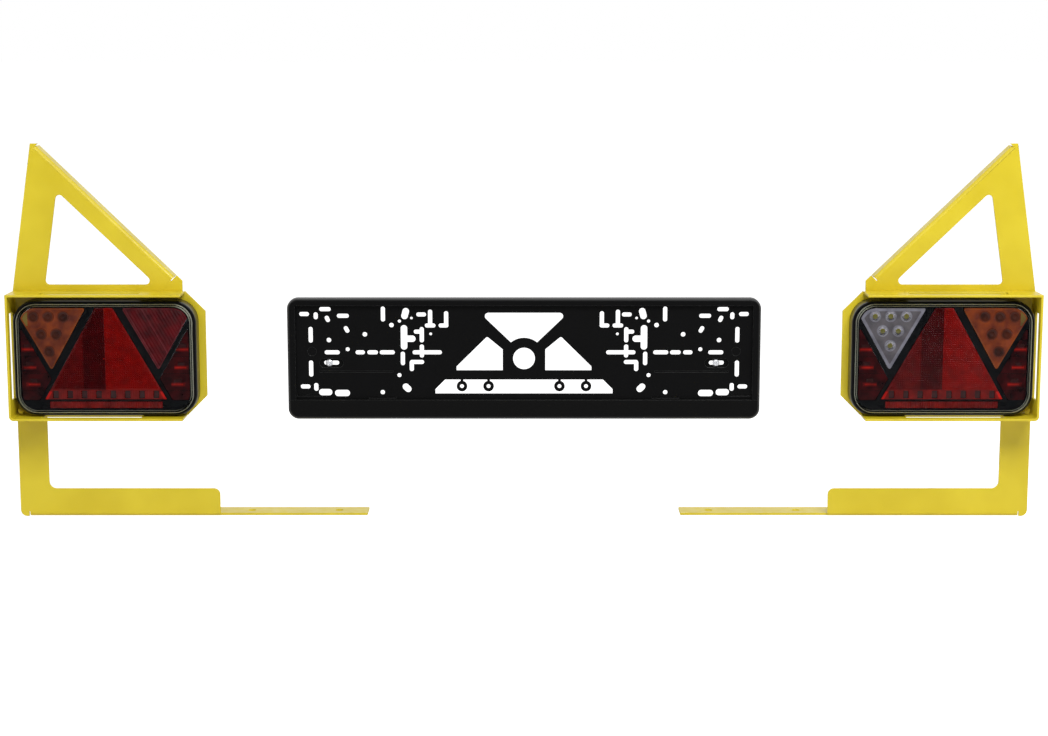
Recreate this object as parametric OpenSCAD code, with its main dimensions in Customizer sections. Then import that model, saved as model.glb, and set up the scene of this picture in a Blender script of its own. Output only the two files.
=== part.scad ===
// Trailer light kit: a mirror pair of folded sheet brackets, each with a lamp tray and a
// multifunction LED rear lamp, and a slotted number-plate holder that hangs between them.
// The kit is seen from behind: X to the right, Y away from the viewer, Z up. The origin
// lies midway between the brackets, level with the underside of their bottom flanges.

/* [Kit] */
// Overall width across the two brackets
kit_w = 1144; // [1080:1:1300]
// Clearance between pieces that drop into each other
fit_gap = 0.3; // [0.2:0.05:0.4]

/* [Bracket sheet] */
// Thickness of the bracket and tray sheet
sheet_t = 2.5; // [1.5:0.25:3]
// Inside radius of every fold
bend_in = 2; // [1:0.25:3]
// Height of the bracket above the underside of its bottom flange
bracket_h = 422; // [400:1:450]
// Width of the outer post below the lamp
post_w = 33.5; // [25:0.5:36]
// Width of the leaning outer member beside the window
side_w = 35; // [25:0.5:45]
// Width of the sloping member, square to its edge
diag_w = 24; // [18:0.5:32]
// Height of the foot bar
foot_h = 32; // [24:0.5:45]
// Length of the foot bar, from the outer edge
foot_len = 227; // [200:1:260]
// Length of the bottom flange, from the outer edge
strip_len = 394; // [360:1:420]
// How far the apex leans in from the outer edge
apex_in = 25; // [10:1:40]
// Length of the flat at the apex
apex_flat = 8.5; // [6:0.5:14]
// Slope of the sloping edge
diag_angle = 44.3; // [42:0.1:47]
// Distance from the lower end of the sloping fold to the plate's corner
diag_stop = 9.6; // [8:0.2:20]
// How far the sloping fold is set in from the plate's edge
diag_set = 3.5; // [1:0.25:6]
// Depth of the bottom flange
foot_flange = 36; // [32:1:60]
// Depth of the sloping flange
diag_flange = 20; // [14:1:34]
// Height of the window above the tray
window_lift = 7; // [4:0.5:12]
// Height of the tie bar's inner corner above the tray
corner_lift = 11.3; // [9:0.1:16]
// Overlap of the tie bar and the tray's back plate
tie_lap = 2.5; // [2:0.5:10]
// Corner radius of the window
window_r = 4.5; // [2:0.5:8]
// Corner radius inside the post and the foot bar
inner_r = 8; // [3:0.5:12]
// Corner radius at the outer corners of the foot bar
foot_r = 7; // [3:0.5:9]
// Radius of the bolt holes
bolt_r = 4.5; // [3:0.25:5.5]
// Distance between the two bolt holes in the bottom flange
foot_pitch = 100; // [60:1:120]

/* [Lamp tray] */
// Height of the tray's underside
tray_z = 117; // [100:1:130]
// How far the tray's back plate reaches past the lamp
tray_margin = 7.5; // [1:0.5:12]
// Length of the top and bottom walls, from the outer edge
wall_len = 193; // [180:1:200]
// Depth of the walls, from the bracket's face
tray_d = 40; // [30:0.5:50]
// Width of the light slots in the walls
slot_w = 16; // [8:0.5:20]
// Length of the slots in the top and bottom walls
slot_len = 110; // [80:1:140]
// Length of the slot in the outer wall
side_slot_len = 97; // [60:1:100]
// Corner radius where the outer wall meets the bottom wall
tray_r = 5; // [4:0.5:7]

/* [Lamp] */
// Width of the lamp's base
lamp_w = 203; // [196:0.5:208]
// Height of the lamp's base
lamp_h = 129; // [124:0.5:134]
// Corner radius of the lamp's base
lamp_r = 25; // [22:0.5:30]
// Depth of the lamp, from the tray's back plate to the front of the cover
lamp_d = 30; // [29.5:0.5:36]
// Depth of the black base
base_d = 24; // [22:0.5:26]
// Width of the black band around the cover, at the ends
band_x = 4; // [3.5:0.25:6]
// Width of the black band around the cover, above and below
band_z = 3.5; // [3.25:0.25:5]
// Gap between the lamp and the tray's outer wall
side_gap = 2.5; // [1.5:0.25:4]
// Gap between the lamp and the tray's bottom wall
bottom_gap = 1.5; // [1:0.25:5]
// Gap between the lamp and the tray's top wall
top_gap = 5.5; // [0.5:0.25:8]
// Wall of the base and the cover
wall_t = 2.5; // [2:0.25:3]
// Distance between the two fixing studs
stud_pitch = 120; // [90:1:122]
// Radius of the fixing studs
stud_r = 3; // [2.5:0.25:4]
// Radius of the cable inlet's bore
inlet_r = 3.5; // [2.5:0.25:4.5]

/* [Lamp face] */
// Distance from the red triangle's lower corners to the ends of the face
foot_in = 26.5; // [24:0.5:30]
// Half the width of the red triangle's cut top
tri_top = 10; // [8:0.5:11]
// Height of the red triangle's base, from the lamp's middle
tri_base = -46; // [-47:0.5:-44]
// Width of the black divider bands at the top
divider = 9.5; // [8:0.5:11]
// Corner radius of the lenses
lens_r = 2; // [1.5:0.25:3]
// Pitch of the round LEDs across the wing lenses
led_pitch = 17.25; // [15:0.25:17.5]
// Pitch of their rows
led_row = 16.4; // [14:0.2:17]
// Number of windows in the stop row
stop_count = 8; // [4:1:8]

/* [Number-plate holder] */
// Width of the holder
holder_w = 532; // [528:1:560]
// Height of the holder
holder_h = 137.5; // [136:0.5:145]
// Depth of the holder
holder_d = 12; // [11:0.5:16]
// Height of the holder's middle above the origin
holder_z = 180.5; // [150:0.5:250]
// Corner radius of the holder
holder_r = 12; // [10:0.5:16]
// Rounding of the holder's front edge
edge_r = 4; // [2:0.25:4.5]
// Width of the rim at the ends
rim_x = 9; // [7:0.25:10]
// Width of the rim at the top
rim_z = 8.25; // [7:0.25:10]
// Height of the retaining strip
strip_h = 22; // [18:0.5:24]
// Thickness of the floor behind the number plate
floor_t = 2.2; // [1.5:0.1:3]
// Thickness of the number plate that the rim takes
plate_t = 1.2; // [1:0.1:1.6]
// Width of the narrow slots
slot_narrow = 4.8; // [4.5:0.1:5.4]
// Radius of the holder screws' heads
head_r = 4; // [3.6:0.1:4.6]

/* [Hidden] */
$fn = 48;

// Extra length of a cutting tool past the face that it cuts
past = 1;
// Straight pieces in each rounded corner of a sheet outline
arc_steps = 6;

// Bracket values
outer_x = kit_w / 2;
bend_r = bend_in + sheet_t;
tray_h = lamp_h + bottom_gap + top_gap + 2 * sheet_t;
top_z = tray_z + tray_h;
lean_angle = atan(apex_in / (bracket_h - top_z));
apex_x = outer_x - apex_in - apex_flat;
relief_w = 1;
relief_deep = bend_r + 1;
foot_tab = 9.5;
corner_drop = bracket_h - top_z - corner_lift;
corner_x = apex_x - corner_drop / tan(diag_angle);
diag_len = corner_drop / sin(diag_angle) - diag_stop;
tie_z = top_z - bend_r - tie_lap;

// Window corners, where the members' inner edges cross
window_z = top_z + window_lift;
lean_x0 = outer_x - side_w / cos(lean_angle);
slope_z0 = bracket_h - apex_x * tan(diag_angle) - diag_w / cos(diag_angle);
window_top_x = (lean_x0 - (slope_z0 - top_z) * tan(lean_angle))
    / (1 + tan(lean_angle) * tan(diag_angle));

// Tray values
tray_w = sheet_t + side_gap + lamp_w + tray_margin;
tray_chamfer = tray_w - wall_len;
tray_gap = bend_r + 2.5;
slot_y = (tray_d - bend_r) / 2 + bend_r;
tray_mid_z = tray_z + tray_h / 2;

// Lamp values, in the lamp's own frame: x outwards, y up, z towards the viewer
lamp_x = outer_x - sheet_t - side_gap - lamp_w / 2;
lamp_z = tray_z + sheet_t + bottom_gap + lamp_h / 2;
cover_w = lamp_w - 2 * band_x;
cover_h = lamp_h - 2 * band_z;
cover_r = lamp_r - band_z;
cover_edge = 3;
base_edge = 2;
back_step = bend_in + fit_gap;
ledge_z = base_d - 4.5;
seal_t = 1.5;
cavity_w = cover_w - 2 * wall_t;
cavity_h = cover_h - 2 * wall_t;
cavity_r = cover_r - wall_t;
face_w = cavity_w - 2 * fit_gap;
face_h = cavity_h - 2 * fit_gap;
face_r = cavity_r - fit_gap;

// Layers behind the cover, from the front to the back
mask_t = 3;
lens_flange_t = 2;
reflector_t = 6;
reflector_skirt = 4;
board_t = 1.6;
mask_front = lamp_d - wall_t - 2;
mask_back = mask_front - mask_t;
lens_back = mask_back - lens_flange_t;
reflector_back = lens_back - reflector_t;
board_front = reflector_back - reflector_skirt;
board_back = board_front - board_t;

// Lamp face values
face_border = 1.2;
face_top = face_h / 2 - face_border;
lens_proud = 1;
lens_flange = 1;
tri_foot = face_w / 2 - foot_in;
slope = (tri_foot - tri_top) / (face_top - tri_base);
wing_in = tri_top + divider;
wing_past = 4.5;
wing_half = (face_w / 2 + wing_past - wing_in) / 2;
wing_mid = wing_in + wing_half;
tail_in = tri_top + 5;
tail_out = wing_mid + wing_half + 6;
tail_low = tri_base - 1;
strip_top = tri_base - 2.3;
strip_low = 1 - face_top;
strip_in = 5.2;
strip_half = tri_foot - strip_in;
pocket_at = [tri_foot - 0.2, (strip_top + strip_low) / 2 + 1];
led_top = face_top - 8.2;
stop_row_y = tri_base + 5.5;
stop_pitch = 2 * (tri_foot - 12.2) / (stop_count - 1);
tail_led_at = [[face_w / 2 - 8.2, 12], [face_w / 2 - 10.2, -8], [face_w / 2 - 14.2, -27]];
led_r = 2.5;
led_h = 8.6;
cup_r = 6.8;
window_half = 4.5;

// Stud values
head_h = 4;
head_across = 10;
washer_t = 1.6;
washer_r = 6.25;
nut_h = 5;
stud_out = 12;
gland_r = 8;
gland_hex = 11.5;

// Number-plate holder values, in its own frame: x to the right, y up, z to the viewer
holder_y = 12;
floor_front = holder_d - 3.6 - plate_t;
floor_back = floor_front - floor_t;
pocket_w = holder_w - 2 * rim_x;
pocket_top = holder_h / 2 - rim_z;
strip_edge = strip_h - holder_h / 2;
holder_wall = 2.5;
undercut = 3.5;
hub_r = 23.5;
hub_hole_r = 12.3;
eye_x = [40, 70];
eye_y = -31.6;
screw_r = 2.1;
screw_at = 217;
screw_x = [-219.5, 216.5];
screw_y = -5.2;
screw_out = 20;
head_t = 2.6;
dish_front = floor_front - head_t - fit_gap;
dish_back = dish_front - floor_t;
dish_len = 27;
dish_w = 2 * head_r + 2.4;
mark_deep = 0.6;

// Narrow slots on each half of the floor: distance from the middle, height, length, turn
narrow_slots = [
    [247, 50.5, 11, 0], [234, 48.5, 8, 90], [223.5, 56, 13, 0], [221, 45, 7.5, 65],
    [240, 27, 18, 90], [203.5, 48.5, 13.5, 0], [199.5, 33, 8, 60], [158.5, 50.5, 17, 90],
    [216, 7, 17, 0], [184.5, 7, 10.5, 0], [170.5, 7, 12, 0], [154, 7, 17, 0],
    [109, 7, 33, 0], [115, 8.5, 15, 90], [screw_at, screw_y, 17, 0], [240, -11.5, 18.5, 90],
    [246.5, -32, 11, 0], [234.5, -32.5, 9, 90], [136.5, 0, 15.5, 90], [105.5, 46.5, 18, 90],
    [105.5, 37.5, 12, 0], [87.5, 44.5, 18.5, 90], [90.5, 37.5, 11, 0], [115, 27, 17.5, 90],
    [119.5, 30.5, 9, 0], [120.5, -4, 16, 0], [126.5, -8.5, 12, 90], [115.5, 50, 11, 0]
];
// Wide slots: distance from the middle, height, length, turn
wide_slots = [[205, -39.5, 17, 0], [224, -38.5, 15, 0], [135, 24, 28, 90], [130, 22.5, 16, 0],
    [132, -33.5, 11, 45], [133.5, 51, 13, 105]];
slot_wide = 7.4;
// Round holes: distance from the middle, height, radius
round_holes = [[219.5, 21, 2.6], [179, 27.5, 2.6], [198.5, 10.5, 2.3], [149, 38, 2.6],
    [140, 42.5, 1.8], [159.5, -38.5, 2.5], [140.5, -19, 2.3], [126.5, 46, 1.5],
    [105, 28, 1.6]];

// Points of a polygon with rounded corners. Each corner is given as x, y and radius, and
// each arc touches both of the edges that meet there.
function xy(p) = [p[0], p[1]];
function unit(v) = v / norm(v);
function turned(d) = d > 180 ? d - 360 : d < -180 ? d + 360 : d;
function arc_point(mid, r, a) = mid + r * [cos(a), sin(a)];
function corner(a, b, c, r) = r == 0 ? [b] :
    let (
        u = unit(a - b),
        v = unit(c - b),
        half = acos(u * v) / 2,
        mid = b + unit(u + v) * r / sin(half),
        p = b + u * r / tan(half) - mid,
        q = b + v * r / tan(half) - mid,
        start = atan2(p[1], p[0]),
        sweep = turned(atan2(q[1], q[0]) - start)
    )
    [for (i = [0 : arc_steps]) arc_point(mid, r, start + sweep * i / arc_steps)];
function rounded(pts) = let (n = len(pts)) [
    for (i = [0 : n - 1])
        each corner(xy(pts[(i + n - 1) % n]), xy(pts[i]), xy(pts[(i + 1) % n]), pts[i][2])
];

// Corners of an anticlockwise convex polygon whose edges are all moved outwards by d
function edge_normal(a, b) = let (e = unit(b - a)) [e[1], -e[0]];
function moved_corner(a, b, c, d) =
    let (n = edge_normal(a, b), m = edge_normal(b, c)) b + d * (n + m) / (1 + n * m);
function grown(pts, d) = let (n = len(pts)) [
    for (i = [0 : n - 1]) moved_corner(pts[(i + n - 1) % n], pts[i], pts[(i + 1) % n], d)
];

// A rounded rectangle about the origin
module round_rect(w, h, r) {
    square([w - 2 * r, h], center = true);
    square([w, h - 2 * r], center = true);
    for (sx = [-1, 1], sy = [-1, 1])
        translate([sx * (w / 2 - r), sy * (h / 2 - r)])
            circle(r);
}

// A slot with round ends along x
module obround(length, width) {
    square([length - width, width], center = true);
    for (s = [-1, 1])
        translate([s * (length - width) / 2, 0])
            circle(width / 2);
}

// Carries a flat profile once round a rounded rectangle. The profile's x is the distance
// from the corner's centre, and its y is the height.
module round_frame(w, h, r) {
    for (i = [0 : 3]) {
        sx = (i == 0 || i == 3) ? 1 : -1;
        sy = i < 2 ? 1 : -1;
        translate([sx * (w / 2 - r), sy * (h / 2 - r), 0])
            rotate([0, 0, 90 * i]) {
                rotate_extrude(angle = 90)
                    children();
                rotate([90, 0, 0])
                    linear_extrude(i % 2 == 0 ? h - 2 * r : w - 2 * r)
                        children();
            }
    }
}

// A rounded slab whose front edge is rounded all the way round
module soft_slab(w, h, r, depth, edge) {
    round_frame(w, h, r) {
        square([r, depth - edge]);
        square([r - edge, depth]);
        translate([r - edge, depth - edge])
            circle(edge);
    }
    translate([0, 0, depth / 2])
        cube([w - 2 * r, h - 2 * r, depth], center = true);
}

// Puts a piece that is drawn for the right-hand side on the left
module on_left() {
    mirror([1, 0, 0])
        children();
}

// Stands a flat outline, drawn as x and height, up with its front at Y = 0 and its
// thickness away from the viewer
module upright(thickness) {
    translate([0, thickness, 0])
        rotate([90, 0, 0])
            linear_extrude(thickness)
                children();
}

// A quarter bend along X: the sheet comes up at the back plane and turns to +Y
module bend(length) {
    rotate([90, 0, 90])
        linear_extrude(length)
            translate([bend_r, -bend_r])
                difference() {
                    intersection() {
                        circle(bend_r);
                        translate([-bend_r, 0])
                            square(bend_r);
                    }
                    circle(bend_in);
                }
}

// The flat of a flange beyond its bend
module flange(length, depth) {
    translate([0, bend_r, -sheet_t])
        cube([length, depth - bend_r, sheet_t]);
}

// Puts a piece at the upper end of the sloping fold, with x along the fold
module at_slope() {
    translate([apex_x, 0, bracket_h])
        rotate([0, -diag_angle, 0])
            translate([0, 0, -diag_set])
                children();
}

// Right-hand bracket plate: an upper triangle frame and a lower foot in one plane
module bracket_outline() {
    polygon(rounded([
        [outer_x, 0, foot_r],
        [outer_x, top_z, 0],
        [outer_x - apex_in, bracket_h, 0],
        [apex_x, bracket_h, 0],
        [corner_x, bracket_h - corner_drop, 0],
        [corner_x, tie_z, 0],
        [outer_x - post_w, tie_z, inner_r / 2],
        [outer_x - post_w, foot_h, inner_r],
        [outer_x - foot_len, foot_h, foot_r],
        [outer_x - foot_len, 0, 0]
    ]));
}

module bracket_window() {
    polygon(rounded([
        [lean_x0 - window_lift * tan(lean_angle), window_z, window_r],
        [window_top_x, slope_z0 + window_top_x * tan(diag_angle), window_r],
        [(window_z - slope_z0) / tan(diag_angle), window_z, window_r]
    ]));
}

module bracket_bend_zones() {
    translate([outer_x - foot_len - past, -past])
        square([foot_len + past - foot_tab, bend_r + past]);
    translate([outer_x - foot_tab - relief_w, -past])
        square([relief_w, relief_deep + past]);
    translate([apex_x, bracket_h])
        rotate(diag_angle) {
            translate([-diag_len, -bend_r - diag_set])
                square([diag_len, bend_r + diag_set + past]);
            translate([-diag_len - relief_w, -relief_deep - diag_set])
                square([relief_w, relief_deep + diag_set + past]);
        }
}

module bracket_plate() {
    foot_run = foot_len - foot_tab - relief_w;
    strip_run = strip_len - foot_tab - relief_w;
    hole_y = (foot_flange + bend_r) / 2;
    hole_x = outer_x - (strip_len + foot_len) / 2;
    color("gold") {
        upright(sheet_t)
            difference() {
                bracket_outline();
                bracket_window();
                bracket_bend_zones();
            }
        translate([outer_x - foot_len, 0, 0])
            mirror([0, 0, 1])
                bend(foot_run);
        difference() {
            translate([outer_x - strip_len, 0, 0])
                mirror([0, 0, 1])
                    flange(strip_run, foot_flange);
            for (s = [-1, 1])
                translate([hole_x + s * foot_pitch / 2, hole_y, -past])
                    cylinder(h = sheet_t + 2 * past, r = bolt_r);
        }
        at_slope()
            translate([-diag_len, 0, 0]) {
                bend(diag_len);
                flange(diag_len, diag_flange);
            }
    }
}

// Right-hand lamp tray: a back plate with walls folded towards the viewer on three sides
module tray_back() {
    polygon([
        [outer_x - bend_r, tray_z + bend_r],
        [outer_x - bend_r, top_z - bend_r],
        [outer_x - wall_len, top_z - bend_r],
        [outer_x - wall_len, top_z],
        [outer_x - tray_w, top_z - tray_chamfer],
        [outer_x - tray_w, tray_z + tray_chamfer],
        [outer_x - wall_len, tray_z],
        [outer_x - wall_len, tray_z + bend_r]
    ]);
}

module tray_walls() {
    polygon(rounded([
        [outer_x - wall_len, tray_z, 0],
        [outer_x, tray_z, tray_r],
        [outer_x, top_z, 0],
        [outer_x - wall_len, top_z, 0],
        [outer_x - wall_len, top_z - sheet_t, 0],
        [outer_x - sheet_t, top_z - sheet_t, 0],
        [outer_x - sheet_t, tray_z + sheet_t, tray_r - sheet_t],
        [outer_x - wall_len, tray_z + sheet_t, 0]
    ]));
}

module tray_bends() {
    run = wall_len - tray_gap;
    mirror([0, 1, 0]) {
        translate([outer_x - wall_len, 0, top_z])
            bend(run);
        translate([outer_x - wall_len, 0, tray_z])
            mirror([0, 0, 1])
                bend(run);
        translate([outer_x, 0, top_z - tray_gap])
            rotate([0, 90, 0])
                bend(tray_h - 2 * tray_gap);
    }
}

module tray_holes() {
    slot_mid = outer_x - wall_len / 2 + 6;
    for (s = [-1, 1])
        translate([lamp_x + s * stud_pitch / 2, past, lamp_z])
            rotate([90, 0, 0])
                cylinder(h = sheet_t + 2 * past, r = stud_r + fit_gap);
    translate([lamp_x, past, lamp_z])
        rotate([90, 0, 0])
            cylinder(h = sheet_t + 2 * past, r = gland_hex + 1.5);
    translate([slot_mid, -slot_y, tray_mid_z])
        cube([slot_len, slot_w, tray_h + 2 * past], center = true);
    translate([outer_x, -slot_y, tray_mid_z])
        cube([4 * sheet_t, slot_w, side_slot_len], center = true);
}

module lamp_tray() {
    color("gold")
        difference() {
            union() {
                translate([0, -sheet_t, 0])
                    upright(sheet_t)
                        tray_back();
                translate([0, -tray_d, 0])
                    upright(tray_d - bend_r)
                        tray_walls();
                tray_bends();
            }
            tray_holes();
        }
}

// Puts a lamp piece in its place on the tray's back plate
module at_lamp() {
    translate([lamp_x, -sheet_t, lamp_z])
        rotate([90, 0, 0])
            children();
}

// Black base: an open box with a stepped rim that takes the seal and the cover. Its back is
// stepped in to clear the inside of the tray's bends.
module lamp_base() {
    post_at = [for (sx = [-1, 1], sy = [-1, 1]) [sx * 74, sy * 36]];
    color("black")
        at_lamp() {
            difference() {
                union() {
                    translate([0, 0, back_step])
                        soft_slab(lamp_w, lamp_h, lamp_r, base_d - back_step, base_edge);
                    linear_extrude(back_step)
                        round_rect(lamp_w - 2 * back_step, lamp_h - 2 * back_step,
                                   lamp_r - back_step);
                }
                translate([0, 0, wall_t])
                    linear_extrude(base_d)
                        round_rect(cavity_w, cavity_h, cavity_r);
                translate([0, 0, ledge_z])
                    linear_extrude(base_d)
                        round_rect(cover_w + 2 * fit_gap, cover_h + 2 * fit_gap,
                                   cover_r + fit_gap);
                for (s = [-1, 1])
                    translate([s * stud_pitch / 2, 0, -past])
                        cylinder(h = wall_t + 2 * past, r = stud_r + fit_gap);
                translate([0, 0, -past])
                    cylinder(h = wall_t + 2 * past, r = gland_r);
            }
            for (p = post_at)
                translate([p[0], p[1], wall_t])
                    cylinder(h = board_back - wall_t, r = 4);
        }
}

module cover_seal() {
    color("dimgray")
        at_lamp()
            translate([0, 0, ledge_z])
                linear_extrude(seal_t)
                    difference() {
                        round_rect(cover_w, cover_h, cover_r);
                        round_rect(cavity_w, cavity_h, cavity_r);
                    }
}

// Clear cover: a shallow box, open to the back, with a rounded front edge
module lamp_cover() {
    foot = ledge_z + seal_t;
    color("lightgray", 0.4)
        at_lamp()
            difference() {
                translate([0, 0, foot])
                    soft_slab(cover_w, cover_h, cover_r, lamp_d - foot, cover_edge);
                translate([0, 0, foot - past])
                    linear_extrude(lamp_d - wall_t - foot + past)
                        round_rect(cavity_w, cavity_h, cavity_r);
            }
}

module circuit_board() {
    color("darkgreen")
        at_lamp()
            translate([0, 0, board_back])
                linear_extrude(board_t)
                    round_rect(face_w, face_h, face_r);
}

// Outlines of the lens fields on the lamp's face, each grown by d
module face_clip(d) {
    inset = face_border - d;
    round_rect(face_w - 2 * inset, face_h - 2 * inset, face_r - inset);
}

module field(pts, d) {
    polygon(rounded([for (p = grown(pts, d)) [p[0], p[1], lens_r + d]]));
}

module triangle_field(d) {
    polygon(grown([
        [-tri_foot, tri_base], [tri_foot, tri_base], [tri_top, face_top], [-tri_top, face_top]
    ], d));
}

module wing_field(s, d) {
    low = face_top - wing_half / slope;
    intersection() {
        mirror([s < 0 ? 1 : 0, 0])
            field([[wing_mid, low], [wing_mid + wing_half, face_top],
                   [wing_mid - wing_half, face_top]], d);
        face_clip(d);
    }
}

module tail_field(s, d) {
    drop = (tail_out - tail_in) / slope / 2;
    far = face_w / 2;
    intersection() {
        mirror([s < 0 ? 1 : 0, 0])
            field([[tail_in + slope * drop, face_top - drop],
                   [tail_in + slope * (face_top - tail_low), tail_low],
                   [far, tail_low],
                   [far, face_top - (tail_out - far) / slope]], d);
        face_clip(d);
    }
}

module strip_field(d) {
    mid = (strip_top + strip_low) / 2;
    translate([0, mid])
        square([2 * (strip_half + d), strip_top - strip_low + 2 * d], center = true);
}

// One inner lens: a body that fills its opening and a flange behind the mask
module inner_lens(front) {
    translate([0, 0, lens_back])
        linear_extrude(lens_flange_t)
            children(0);
    translate([0, 0, mask_back])
        linear_extrude(front - mask_back)
            children(1);
}

module face_mask() {
    color("#1c1c1e")
        at_lamp()
            difference() {
                translate([0, 0, mask_back])
                    linear_extrude(mask_t)
                        difference() {
                            round_rect(face_w, face_h, face_r);
                            triangle_field(0);
                            for (s = [-1, 1]) {
                                wing_field(s, 0);
                                tail_field(s, 0);
                            }
                            strip_field(0);
                        }
                for (s = [-1, 1])
                    translate([s * pocket_at[0], pocket_at[1], mask_front - 1.5])
                        linear_extrude(mask_t)
                            obround(8, 4.6);
            }
}

module triangle_reflector() {
    color("#b01818")
        at_lamp()
            inner_lens(mask_front + lens_proud) {
                triangle_field(lens_flange);
                triangle_field(-fit_gap);
            }
}

module wing_lens(s) {
    at_lamp()
        inner_lens(mask_front + lens_proud) {
            wing_field(s, lens_flange);
            wing_field(s, -fit_gap);
        }
}

module tail_lenses() {
    color("#6e1216")
        at_lamp()
            for (s = [-1, 1])
                inner_lens(mask_front) {
                    tail_field(s, lens_flange);
                    tail_field(s, -fit_gap);
                }
}

module stop_strip() {
    color("#b01818")
        at_lamp()
            inner_lens(mask_front) {
                strip_field(lens_flange);
                strip_field(-fit_gap);
            }
}

// Places of the six round LEDs behind a wing lens
function wing_leds(s) = [
    for (row = [0 : 2], i = [0 : 2 - row])
        [s * (wing_mid + (i - (2 - row) / 2) * led_pitch), led_top - row * led_row]
];

// Places of the square LEDs: the stop row and the three at each end
function tail_leds_at() = concat(
    [for (i = [0 : stop_count - 1]) [(i - (stop_count - 1) / 2) * stop_pitch, stop_row_y]],
    [for (s = [-1, 1], p = tail_led_at) [s * p[0], p[1]]]
);

// Metallised reflector: a plate with a cup round each LED, on a skirt on the board
module led_reflector() {
    color("silver")
        at_lamp() {
            translate([0, 0, board_front])
                linear_extrude(reflector_skirt)
                    difference() {
                        round_rect(face_w, face_h, face_r);
                        round_rect(face_w - 4, face_h - 4, face_r - 2);
                    }
            difference() {
                translate([0, 0, reflector_back])
                    linear_extrude(reflector_t)
                        difference() {
                            round_rect(face_w, face_h, face_r);
                            for (p = tail_leds_at())
                                translate(p)
                                    square(2 * window_half, center = true);
                        }
                for (s = [-1, 1], p = wing_leds(s))
                    translate([p[0], p[1], reflector_back - past])
                        cylinder(h = reflector_t + 2 * past, r1 = led_r + 0.5, r2 = cup_r);
            }
        }
}

module round_led() {
    rotate_extrude()
        intersection() {
            square([led_r, led_h]);
            union() {
                square([led_r, led_h - led_r]);
                translate([0, led_h - led_r])
                    circle(led_r);
            }
        }
}

module wing_led_set(s) {
    at_lamp()
        for (p = wing_leds(s))
            translate([p[0], p[1], board_front])
                round_led();
}

module tail_led_set() {
    color("#a01010")
        at_lamp()
            for (p = tail_leds_at())
                translate([p[0], p[1], board_front + 1])
                    cube([5, 5, 2], center = true);
}

// Studs with a hexagon head inside the base
module fixing_studs() {
    color("silver")
        at_lamp()
            for (s = [-1, 1])
                translate([s * stud_pitch / 2, 0, wall_t]) {
                    cylinder(h = head_h, r = head_across / sqrt(3), $fn = 6);
                    translate([0, 0, -wall_t - sheet_t - stud_out])
                        cylinder(h = wall_t + sheet_t + stud_out, r = stud_r);
                }
}

module washers() {
    color("silver")
        at_lamp()
            for (s = [-1, 1])
                translate([s * stud_pitch / 2, 0, -sheet_t - washer_t])
                    linear_extrude(washer_t)
                        difference() {
                            circle(washer_r);
                            circle(stud_r + fit_gap);
                        }
}

module nuts() {
    color("silver")
        at_lamp()
            for (s = [-1, 1])
                translate([s * stud_pitch / 2, 0, -sheet_t - washer_t - nut_h])
                    linear_extrude(nut_h)
                        difference() {
                            circle(head_across / sqrt(3), $fn = 6);
                            circle(stud_r);
                        }
}

// Cable inlet: a threaded shank through the base, a hexagon and a tapered nose
module cable_gland() {
    color("#202022")
        at_lamp()
            difference() {
                union() {
                    cylinder(h = wall_t + 4, r = gland_r);
                    translate([0, 0, -8])
                        cylinder(h = 8, r = gland_hex, $fn = 6);
                    translate([0, 0, -20])
                        cylinder(h = 12, r1 = inlet_r + 2, r2 = gland_r);
                }
                translate([0, 0, -20 - past])
                    cylinder(h = 24 + wall_t + 2 * past, r = inlet_r);
            }
}

// Puts a holder piece in its place, with its back on the plane behind it
module at_holder() {
    translate([0, holder_y, holder_z])
        rotate([90, 0, 0])
            children();
}

// The holder's outer form, which the base and the strip share
module holder_form() {
    soft_slab(holder_w, holder_h, holder_r, holder_d, edge_r);
}

// Everything that is cut through the floor of the holder
module floor_openings() {
    for (s = [-1, 1]) {
        for (a = narrow_slots)
            translate([s * a[0], a[1]])
                rotate(s * a[3])
                    obround(a[2], slot_narrow);
        for (a = wide_slots)
            translate([s * a[0], a[1]])
                rotate(s * a[3])
                    obround(a[2], slot_wide);
        for (a = round_holes)
            translate([s * a[0], a[1]])
                circle(a[2]);
        polygon(rounded([
            [s * 76, -13.5, 0], [s * 24, -13.5, 0], [s * 24, 10.5, 0], [s * 41.5, 25, 2],
            [s * 76, -9, 2]
        ]));
    }
    difference() {
        polygon(rounded([[-14.5, 18, 0], [14.5, 18, 0], [50, 52, 4], [-50, 52, 4]]));
        circle(hub_r);
    }
    circle(hub_hole_r);
    difference() {
        polygon([[-100, -40], [100, -40], [100, -35], [89, -24], [-89, -24], [-100, -35]]);
        for (s = [-1, 1], x = eye_x)
            translate([s * x, eye_y]) {
                circle(6);
                translate([-1.5, 0])
                    square([3, 9]);
            }
    }
    for (s = [-1, 1], x = eye_x)
        translate([s * x, eye_y])
            circle(2.25);
}

// Shallow grooves and dimples in the floor's front: long grooves, stepped ends beside the
// strip and round dimples
module floor_marks() {
    for (s = [-1, 1]) {
        translate([s * 189, -14.8])
            obround(84, 1.8);
        translate([s * 238.7, 8])
            circle(5);
        translate([s * 243, -42])
            square([26, 2], center = true);
        translate([s * 159.5, -44.4])
            square([31, 2], center = true);
    }
}

// Dishes that sink the screws' heads below the number plate, each grown by d
module screw_dishes(d) {
    for (s = [-1, 1])
        translate([s * screw_at, screw_y, 0])
            linear_extrude(holder_d)
                obround(dish_len + 2 * d, dish_w + 2 * d);
}

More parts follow.
